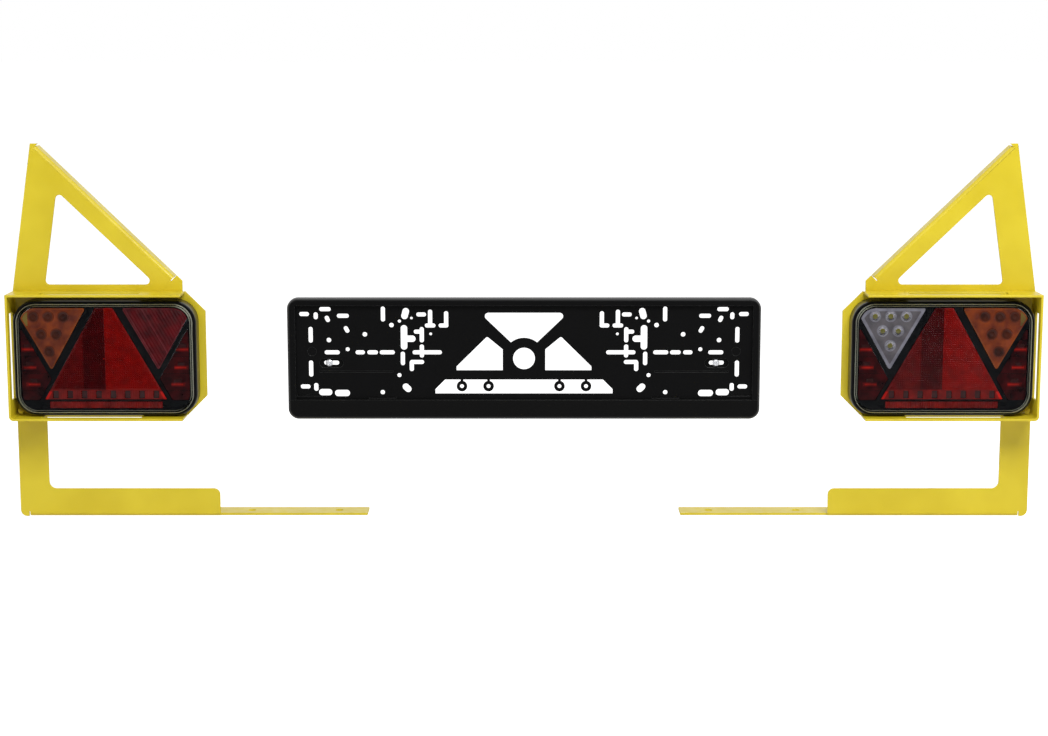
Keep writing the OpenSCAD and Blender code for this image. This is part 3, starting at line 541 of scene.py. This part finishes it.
TRIANGLE = [(-TRI_FOOT, TRI_BASE), (TRI_FOOT, TRI_BASE), (TRI_TOP, FACE_TOP),
            (-TRI_TOP, FACE_TOP)]
WING_LOW = FACE_TOP - WING_HALF / SLOPE
WING = [(WING_MID, WING_LOW), (WING_MID + WING_HALF, FACE_TOP), (WING_MID - WING_HALF, FACE_TOP)]
TAIL_LOW = TRI_BASE - 1
TAIL_OUT = WING_MID + WING_HALF + 6
TAIL_DROP = (TAIL_OUT - TRI_TOP - 5) / SLOPE / 2
TAIL = [(TRI_TOP + 5 + SLOPE * TAIL_DROP, FACE_TOP - TAIL_DROP),
        (TRI_TOP + 5 + SLOPE * (FACE_TOP - TAIL_LOW), TAIL_LOW),
        (FACE_HALF, TAIL_LOW), (FACE_HALF, FACE_TOP - (TAIL_OUT - FACE_HALF) / SLOPE)]
TAIL_WINDOWS = [(FACE_HALF - 8.2, 12), (FACE_HALF - 10.2, -8), (FACE_HALF - 14.2, -27)]
WINDOW = 4
BAND_TOP = TRI_BASE + 11
# Width of the panel left of the seam that gets painted shade.
PAINTED_SHADE_PANEL = 24
PRISM, PRISM_PEAK = 2.4, 0.85
FRAME = 1.2
SEAM = 0.35
WELL_X, WELL_Y, WELL_DEPTH = 3, 4, 1.8
RIB = 2.6
STEP = 19
LENS_CORNER = 1.7
FLUTE = 3.4
# Bands along the fog lens's flutes that get a painted highlight, in mm from its inner edge.
PAINTED_HIGHLIGHT_STREAKS = [(2, 3.6), (18, 19.4)]
# Where the outer corner's patch begins, a painted reflection on the indicator lens.
PATCH_X, PATCH_Y = 84.5, 37
EYE_AROUND = 40
EYE = [(0.01, 0.02), (6.5, 0.02), (6.3, 0.4), (5.2, 0.5), (2.8, 0.12), (2.5, 0.4),
       (0.01, 0.65)]
EYE_ZONES = [2, 2, 2, 1, 0, 0, 0]
PIP = [(0.01, 1.0), (0.01, 0), (0.9, 0), (0.75, 0.5), (0.4, 0.9)]


def mirrored(corners):
    """An outline with the sign of x changed, run backwards so that it stays anticlockwise."""
    return [(-x, y) for x, y in corners[::-1]]


def zone(x, side):
    """Which of the reflector's three panels a place lies in, for its painted light: 1 on the
    viewer's right, which takes a painted highlight, 0 in the panel of painted shade left of the
    seam, and 2 further left, which takes a lighter painted shade."""
    out = SIDES[side] * x
    return np.where(out > 0, 1, np.where(out > -PAINTED_SHADE_PANEL, 0, 2))


def prism_field(side):
    """Square pyramids, as corner-cube moulds leave them: the corners of each lie half a pitch
    from its middle and its peak in front of it. Rows rise by one pitch, and each row keeps the
    pyramids whose base lies inside the triangle and its plain frame, and clear of the seam
    down its middle."""
    rows = np.arange(BAND_TOP + FRAME + PRISM / 2, FACE_TOP - FRAME - PRISM / 2, PRISM)
    columns = (np.arange(64) - 31.5) * PRISM
    x, y = [a.ravel() for a in np.meshgrid(columns, rows)]
    left, right = reach(np.array(TRIANGLE), y + PRISM / 2)
    kept = (x - PRISM / 2 > left + FRAME) & (x + PRISM / 2 < right - FRAME)
    x, y = x[kept] + SEAM * np.sign(x[kept]), y[kept]
    h = PRISM / 2 * 0.98
    base = MASK_FRONT + 0.05
    corner = np.array([(-h, -h, 0), (h, -h, 0), (h, h, 0), (-h, h, 0), (0, 0, PRISM_PEAK)])
    points = np.stack([x, y, np.full_like(x, base)], 1)[:, None] + corner
    face = np.array([(0, 1, 4, 4), (1, 2, 4, 4), (2, 3, 4, 4), (3, 0, 4, 4), (3, 2, 1, 0)])
    faces = (np.arange(len(x))[:, None, None] * 5 + face).reshape(-1, 4)
    faces = [list(dict.fromkeys(f)) for f in faces.tolist()]
    return (points.reshape(-1, 3), faces), np.repeat(zone(x, side), 5)


def from_well(x, y):
    """How far a place lies, across and up, from the nearest of the stop row's eight wells."""
    i = np.clip(np.round(x / STOP_PITCH + 3.5), 0, 7)
    return np.abs(x - (i - 3.5) * STOP_PITCH), np.abs(y - STOP_ROW)


def stop_band(x, y):
    """Front of the triangle's foot: eight upright wells with fine upright ribs between them.
    The ribs are a triangle wave 2 mm long and 0.35 mm high."""
    dx, dy = from_well(x, y)
    well = (dx < WELL_X) & (dy < WELL_Y)
    ribs = 0.35 * np.abs((x / 2) % 1 * 2 - 1) * (y < BAND_TOP - 0.8)
    return MASK_FRONT + 0.05 + np.where(well, -WELL_DEPTH, ribs)


def tail_steps(x, y):
    """Front of the end lenses: long steps, each a straight ramp that comes forward by 1.3 mm
    over its height and drops back, with wells 0.5 mm deep in front of the LEDs."""
    ramp = ((y - 2) / STEP) % 1
    z = MASK_FRONT - 1.5 + 1.3 * (1 - ramp)
    for wx, wy in TAIL_WINDOWS:
        z = z - 0.5 * ((np.abs(np.abs(x) - wx) < WINDOW) & (np.abs(y - wy) < WINDOW))
    return z


def strip_ribs(x, y):
    """Front of the lower strip: ribs 0.6 mm high, the positive half of a sine."""
    return MASK_FRONT - 0.7 + 0.6 * np.abs(np.sin(math.pi * x / RIB))


def bullseyes(s, middle, top, pitch, row_pitch):
    """The six round optics of a wing lens, three, two and one in a row. Each is a shallow
    turned form: a dome over the LED, a cup around it that rises outwards, and a rim. Returns
    the form and each face's zone: 0 the dome, 1 the cup, 2 the rim."""
    eye = lathe(EYE, EYE_AROUND)
    parts = []
    for row in range(3):
        for i in range(3 - row):
            x = s * (middle + (i - (2 - row) / 2) * pitch)
            parts.append(shifted(eye, x, top - row * row_pitch, LENS_FRONT))
    return join(*parts), np.tile(EYE_ZONES, EYE_AROUND * len(parts))


def evenly(outline, count):
    """Points spaced evenly along a closed outline, found on its running length."""
    p = np.concatenate([outline, outline[:1]])
    run = np.concatenate([[0], np.cumsum(np.linalg.norm(np.diff(p, axis=0), axis=1))])
    at = np.linspace(0, run[-1], count, endpoint=False)
    return np.stack([np.interp(at, run, p[:, 0]), np.interp(at, run, p[:, 1])], 1)


def lens_border(corners, wide, low, high, clip):
    """A flat frame along the inside of a lens's outline, wide mm across: evenly spaced points
    of the outline, held inside the face, and the same points of the outline moved inwards, at
    two heights."""
    def ring(d):
        p = evenly(rounded(inset(corners, d), max(2 - d, 0.8), 9), 320)
        left, right = in_face(p[:, 1], p[:, 0], p[:, 0], clip + d)
        return np.stack([np.where(p[:, 0] < 0, left, right),
                         np.minimum(p[:, 1], FACE_TOP - clip - d)], 1)
    outer, inner = ring(GAP), ring(GAP + wide)
    n = len(outer)
    rings = (outer, high), (inner, high), (inner, low), (outer, low)
    points = np.concatenate([np.column_stack([a, np.full(n, z)]) for a, z in rings])
    i = np.arange(n)
    j = (i + 1) % n
    faces = np.concatenate([np.stack([i + a * n, j + a * n, j + b * n, i + b * n], 1)
                            for a, b in ((0, 1), (1, 2), (2, 3), (3, 0))])
    return points, faces.tolist()


def from_slope(out, y):
    """Distance from a wing lens's inner edge, square to it, of a place out from the middle:
    its distance along x over the root of one plus the slope squared."""
    return (out - WING_IN - SLOPE * (FACE_TOP - y)) / math.sqrt(1 + SLOPE * SLOPE)


def wing_front(s, deep):
    """Front of a wing lens: flat, with flutes deep mm that run along its inner edge, a cosine
    across them."""
    def front(x, y):
        across = from_slope(s * x, y)
        return LENS_FRONT - deep * (0.5 - 0.5 * np.cos(2 * math.pi * across / FLUTE))
    return front


def dress_face(side):
    """The triangle with its prisms and stop row, the strip, and the two end lenses."""
    foot = rounded(inset(TRIANGLE, GAP), 0.3)
    slab, mid, rest = relief(foot, TRI_BASE + GAP + 0.01, BAND_TOP, 22, 260, stop_band)
    dx, dy = from_well(mid[:, 0], mid[:, 1])
    skin = np.where((dx < WELL_X) & (dy < WELL_Y),
                    np.where((dx < 1.5) & (dy < 1.5), 2, 1), 0)
    # Cells near the slanted edges at the foot get a painted highlight.
    edge = TRI_FOOT - SLOPE * (mid[:, 1] - TRI_BASE) - np.abs(mid[:, 0])
    skin[(edge < 3.4) & (mid[:, 1] < TRI_BASE + 9)] = 3
    band = lamp_piece("_stop_row", side, "red_reflex", slab, BAND_RED, DARK_WINDOW, CUP_DARK,
                      BAND_PAINTED_HIGHLIGHT, index=np.concatenate([skin, np.zeros(rest, int)]))
    slab, mid, rest = relief(foot, BAND_TOP + 0.02, FACE_TOP - GAP - 0.01, 40, 41,
                             lambda x, y: np.full_like(x, MASK_FRONT + 0.05))
    prisms, panel = prism_field(side)
    # The pip at the seam gets the same brighter red, a painted highlight too.
    pip = shifted(lathe(PIP, 16), 1.2, 0, MASK_FRONT)
    # The flat field and the pyramids take their panel's painted highlight or painted shade.
    index = np.concatenate([zone(mid[:, 0], side), np.zeros(rest, int), panel,
                            np.full(len(pip[1]), 3)])
    field = lamp_piece("_reflex_field", side, "red_reflex", join(slab, prisms, pip),
                       PRISMS_PAINTED_SHADE, PRISMS_PAINTED_HIGHLIGHT, PRISMS_PAINTED_HALF_SHADE, BAND_PAINTED_HIGHLIGHT, index=index,
                       degrees=15)
    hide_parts(side + "_triangle_reflector")
    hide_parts(side + "_triangle_reflector")

    corners = [(-STRIP_HALF, STRIP_LOW), (STRIP_HALF, STRIP_LOW), (STRIP_HALF, STRIP_TOP),
               (-STRIP_HALF, STRIP_TOP)]
    slab, mid, rest = relief(rounded(inset(corners, GAP), 0.3), STRIP_LOW + GAP + 0.01,
                             STRIP_TOP - GAP - 0.01, 5, 400, strip_ribs)
    strip = lamp_piece("_strip_ribs", side, "red_reflex", slab, BAND_RED, degrees=60)
    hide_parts(side + "_stop_strip")

    parts, index = [], []
    for corners in (TAIL, mirrored(TAIL)):
        outline = rounded(inset(corners, GAP), LENS_CORNER)
        low, high = outline[:, 1].min() + 0.01, outline[:, 1].max() - 0.01
        slab, mid, rest = relief(outline, low, high, 130, 60, tail_steps, clip=GAP)
        x, y = np.abs(mid[:, 0]), mid[:, 1]
        skin = np.zeros(len(mid), int)
        for wx, wy in TAIL_WINDOWS:
            skin[(np.abs(x - wx) < WINDOW) & (np.abs(y - wy) < WINDOW)] = 1
            # Under each window a band and a line of lighter red: painted highlight.
            skin[(np.abs(x - wx) < 8) & (np.abs(y - wy + 2) < 2.2)] = 3
            skin[(np.abs(x - wx + 1) < 6.5) & (np.abs(y - wy + 2) < 0.9)] = 2
        parts.append(slab)
        index += [skin, np.zeros(rest, int)]
    ends = lamp_piece("_end_lenses", side, "red_lens", join(*parts), TAIL_RED, DARK_WINDOW,
                      TAIL_HIGHLIGHT_LINE, TAIL_HIGHLIGHT_BAND, index=np.concatenate(index), degrees=25)
    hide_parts(side + "_tail_lenses")

    wing_lens(side, 1, "_indicator_lens", "amber_lens", 0.0, (AMBER, AMBER_EDGE, AMBER_PAINTED_REFLECTION),
              (AMBER_CUP, AMBER_CUP, AMBER_RING), 1.4, (WING_MID + 2.2, FACE_TOP - 10, 16.5, 19.5))
    if side == "left":
        wing_lens(side, -1, "_fog_lens", "fog_lens_red", 0.5, (FOG_RED, FOG_STREAK, FOG_RED),
                  None, 1.0, None)
    else:
        wing_lens(side, -1, "_reversing_lens", "clear_lens", 0.0,
                  (CLEAR_LENS, FROSTED, CLEAR_LENS), (CUP_LED, CUP_CHROME, FROSTED), 3.2,
                  (WING_MID, FACE_TOP - 9.5, 17.25, 16.4))


def wing_lens(side, s, node, slot, flutes, skins, eyes, wide, places):
    """One wing lens: its body with the flutes, its border and its round optics. Two streaks along
    the flutes have the second of the skins, a painted highlight, and its outer corner the third,
    which on the indicator lens is a paler painted reflection."""
    corners = WING if s > 0 else mirrored(WING)
    outline = rounded(inset(corners, GAP), LENS_CORNER)
    low, high = outline[:, 1].min() + 0.01, min(outline[:, 1].max(), FACE_TOP - GAP) - 0.01
    slab, mid, rest = relief(outline, low, high, 90, 90, wing_front(s, flutes), clip=GAP)
    across = from_slope(s * mid[:, 0], mid[:, 1])
    # The outer top corner takes the third skin: on the indicator lens a painted reflection.
    skin = np.where((s * mid[:, 0] > PATCH_X) & (mid[:, 1] > PATCH_Y), 2, 0)
    # Two streaks along the flutes take the second skin: painted highlights.
    if flutes:
        for start, end in PAINTED_HIGHLIGHT_STREAKS:
            skin[(across > start) & (across < end)] = 1
    body = lamp_piece(node + "_body", side, slot, slab, *skins,
                      index=np.concatenate([skin, np.zeros(rest, int)]))
    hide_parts(side + node)
    lamp_piece(node + "_border", side, slot,
               lens_border(corners, wide, LENS_FRONT + 0.02, LENS_FRONT + 0.25, GAP), skins[1])
    if eyes:
        form, zones = bullseyes(s, *places)
        lamp_piece(node + "_optics", side, slot, form, *eyes, index=zones)


# The pieces

def dress_side(side):
    """One bracket with its lamp. Sheet edges are rounded most, clear and plated parts not."""
    soften(side + "_bracket_plate", "yellow_paint", PAINT, 0.35 * MM)
    soften(side + "_lamp_tray", "yellow_paint", PAINT, 0.35 * MM)
    soften(side + "_lamp_base", "black_plastic", ABS, 0.3 * MM)
    soften(side + "_lamp_cover", "clear_cover", CLEAR, 0)
    soften(side + "_led_reflector", "chrome_coat", CHROME, 0)
    soften(side + "_face_mask", "mask_plastic", GLOSS_BLACK, 0.2 * MM)
    soften(side + "_cable_gland", "black_plastic", ABS, 0.2 * MM)
    dress(side + "_cover_seal", RUBBER)
    dress(side + "_circuit_board", BOARD)
    dress(side + "_indicator_leds", AMBER_LED)
    dress(side + "_tail_leds", RED_LED)
    soften(side + "_fixing_studs", "zinc_steel", THREAD, 0.2 * MM)
    soften(side + "_washers", "zinc_steel", ZINC, 0.2 * MM)
    soften(side + "_nuts", "zinc_steel", ZINC, 0.3 * MM)
    dress_face(side)


for side in SIDES:
    dress_side(side)
dress("left_fog_leds", RED_LED)
dress("right_reversing_leds", WHITE_LED)
soften("plate_holder_base", "holder_plastic", GRAINED, 0.25 * MM)
soften("retaining_strip", "strip_plastic", SATIN, 0.25 * MM)
soften("holder_screws", "zinc_steel", ZINC, 0.15 * MM)


# Studio

def studio():
    """The room, the floor, two soft lights and the camera, whose lens gives the photo's focal
    length and whose aim gives its pitch of 9.1 degrees."""
    scene = bpy.context.scene
    scene.view_settings.view_transform = "Standard"
    world = bpy.data.worlds.new("studio_air")
    scene.world = world
    world.use_nodes = True
    tree = world.node_tree
    tree.nodes.clear()
    path = add(tree, "ShaderNodeLightPath").outputs
    seen = add(tree, MATH, {0: path["Is Camera Ray"], 1: path["Is Glossy Ray"]},
               operation="MAXIMUM")
    seen = add(tree, MATH, {0: seen, 1: path["Is Transmission Ray"]}, operation="MAXIMUM")
    strength = add(tree, RANGE, {0: seen, 3: 0.38, 4: 1.0})
    way = add(tree, "ShaderNodeTexCoord").outputs["Generated"]
    deep = add(tree, "ShaderNodeSeparateXYZ", {0: way}).outputs[1]
    room = add(tree, RANGE, {0: deep, 1: -0.7, 2: 0.05, 3: 0.2, 4: 1.0})
    strength = add(tree, MATH, {0: strength, 1: room}, operation="MULTIPLY")
    shade = add(tree, "ShaderNodeBackground", {"Color": linear("#FFFFFF"), "Strength": strength})
    add(tree, "ShaderNodeOutputWorld", {"Surface": shade})

    bpy.ops.mesh.primitive_plane_add(size=60, location=(0, 0, -0.3 * MM))
    floor = bpy.context.object
    floor.name = "floor"
    made, tree, shader, place = finish_of("pale_floor", "#F4F4F4", 0.8, Specular_IOR_Level=0.0,
                                          Emission_Color=linear("#FFFFFF"))
    eye_ray = add(tree, "ShaderNodeLightPath").outputs["Is Camera Ray"]
    feed(tree, shader, {"Emission Strength": add(tree, RANGE, {0: eye_ray, 3: 0.0, 4: 0.8})})
    floor.data.materials.append(made)

    def lamp(name, place, aim, size, power):
        """A rectangular soft light that faces aim."""
        light = bpy.data.lights.new(name, "AREA")
        light.shape = "RECTANGLE"
        light.size, light.size_y = size
        light.energy = power
        made = bpy.data.objects.new(name, light)
        scene.collection.objects.link(made)
        made.location = place
        made.rotation_euler = (Vector(aim) - Vector(place)).to_track_quat("-Z", "Y").to_euler()

    lamp("key_light", (0.55, -1.5, 1.9), (0, 0, 0.25), (1.5, 0.9), 43)
    lamp("fill_light", (-1.6, -2.2, 1.8), (0, 0, 0.2), (1.4, 1.4), 15)

    eye = bpy.data.cameras.new("camera")
    eye.sensor_width = 36
    eye.lens = 73.6
    camera = bpy.data.objects.new("camera", eye)
    scene.collection.objects.link(camera)
    camera.location = (0, -2.380, 0.5515)
    aim = Vector((0, 0, 0.1705)) - camera.location
    camera.rotation_euler = aim.to_track_quat("-Z", "Y").to_euler()
    scene.camera = camera


studio()
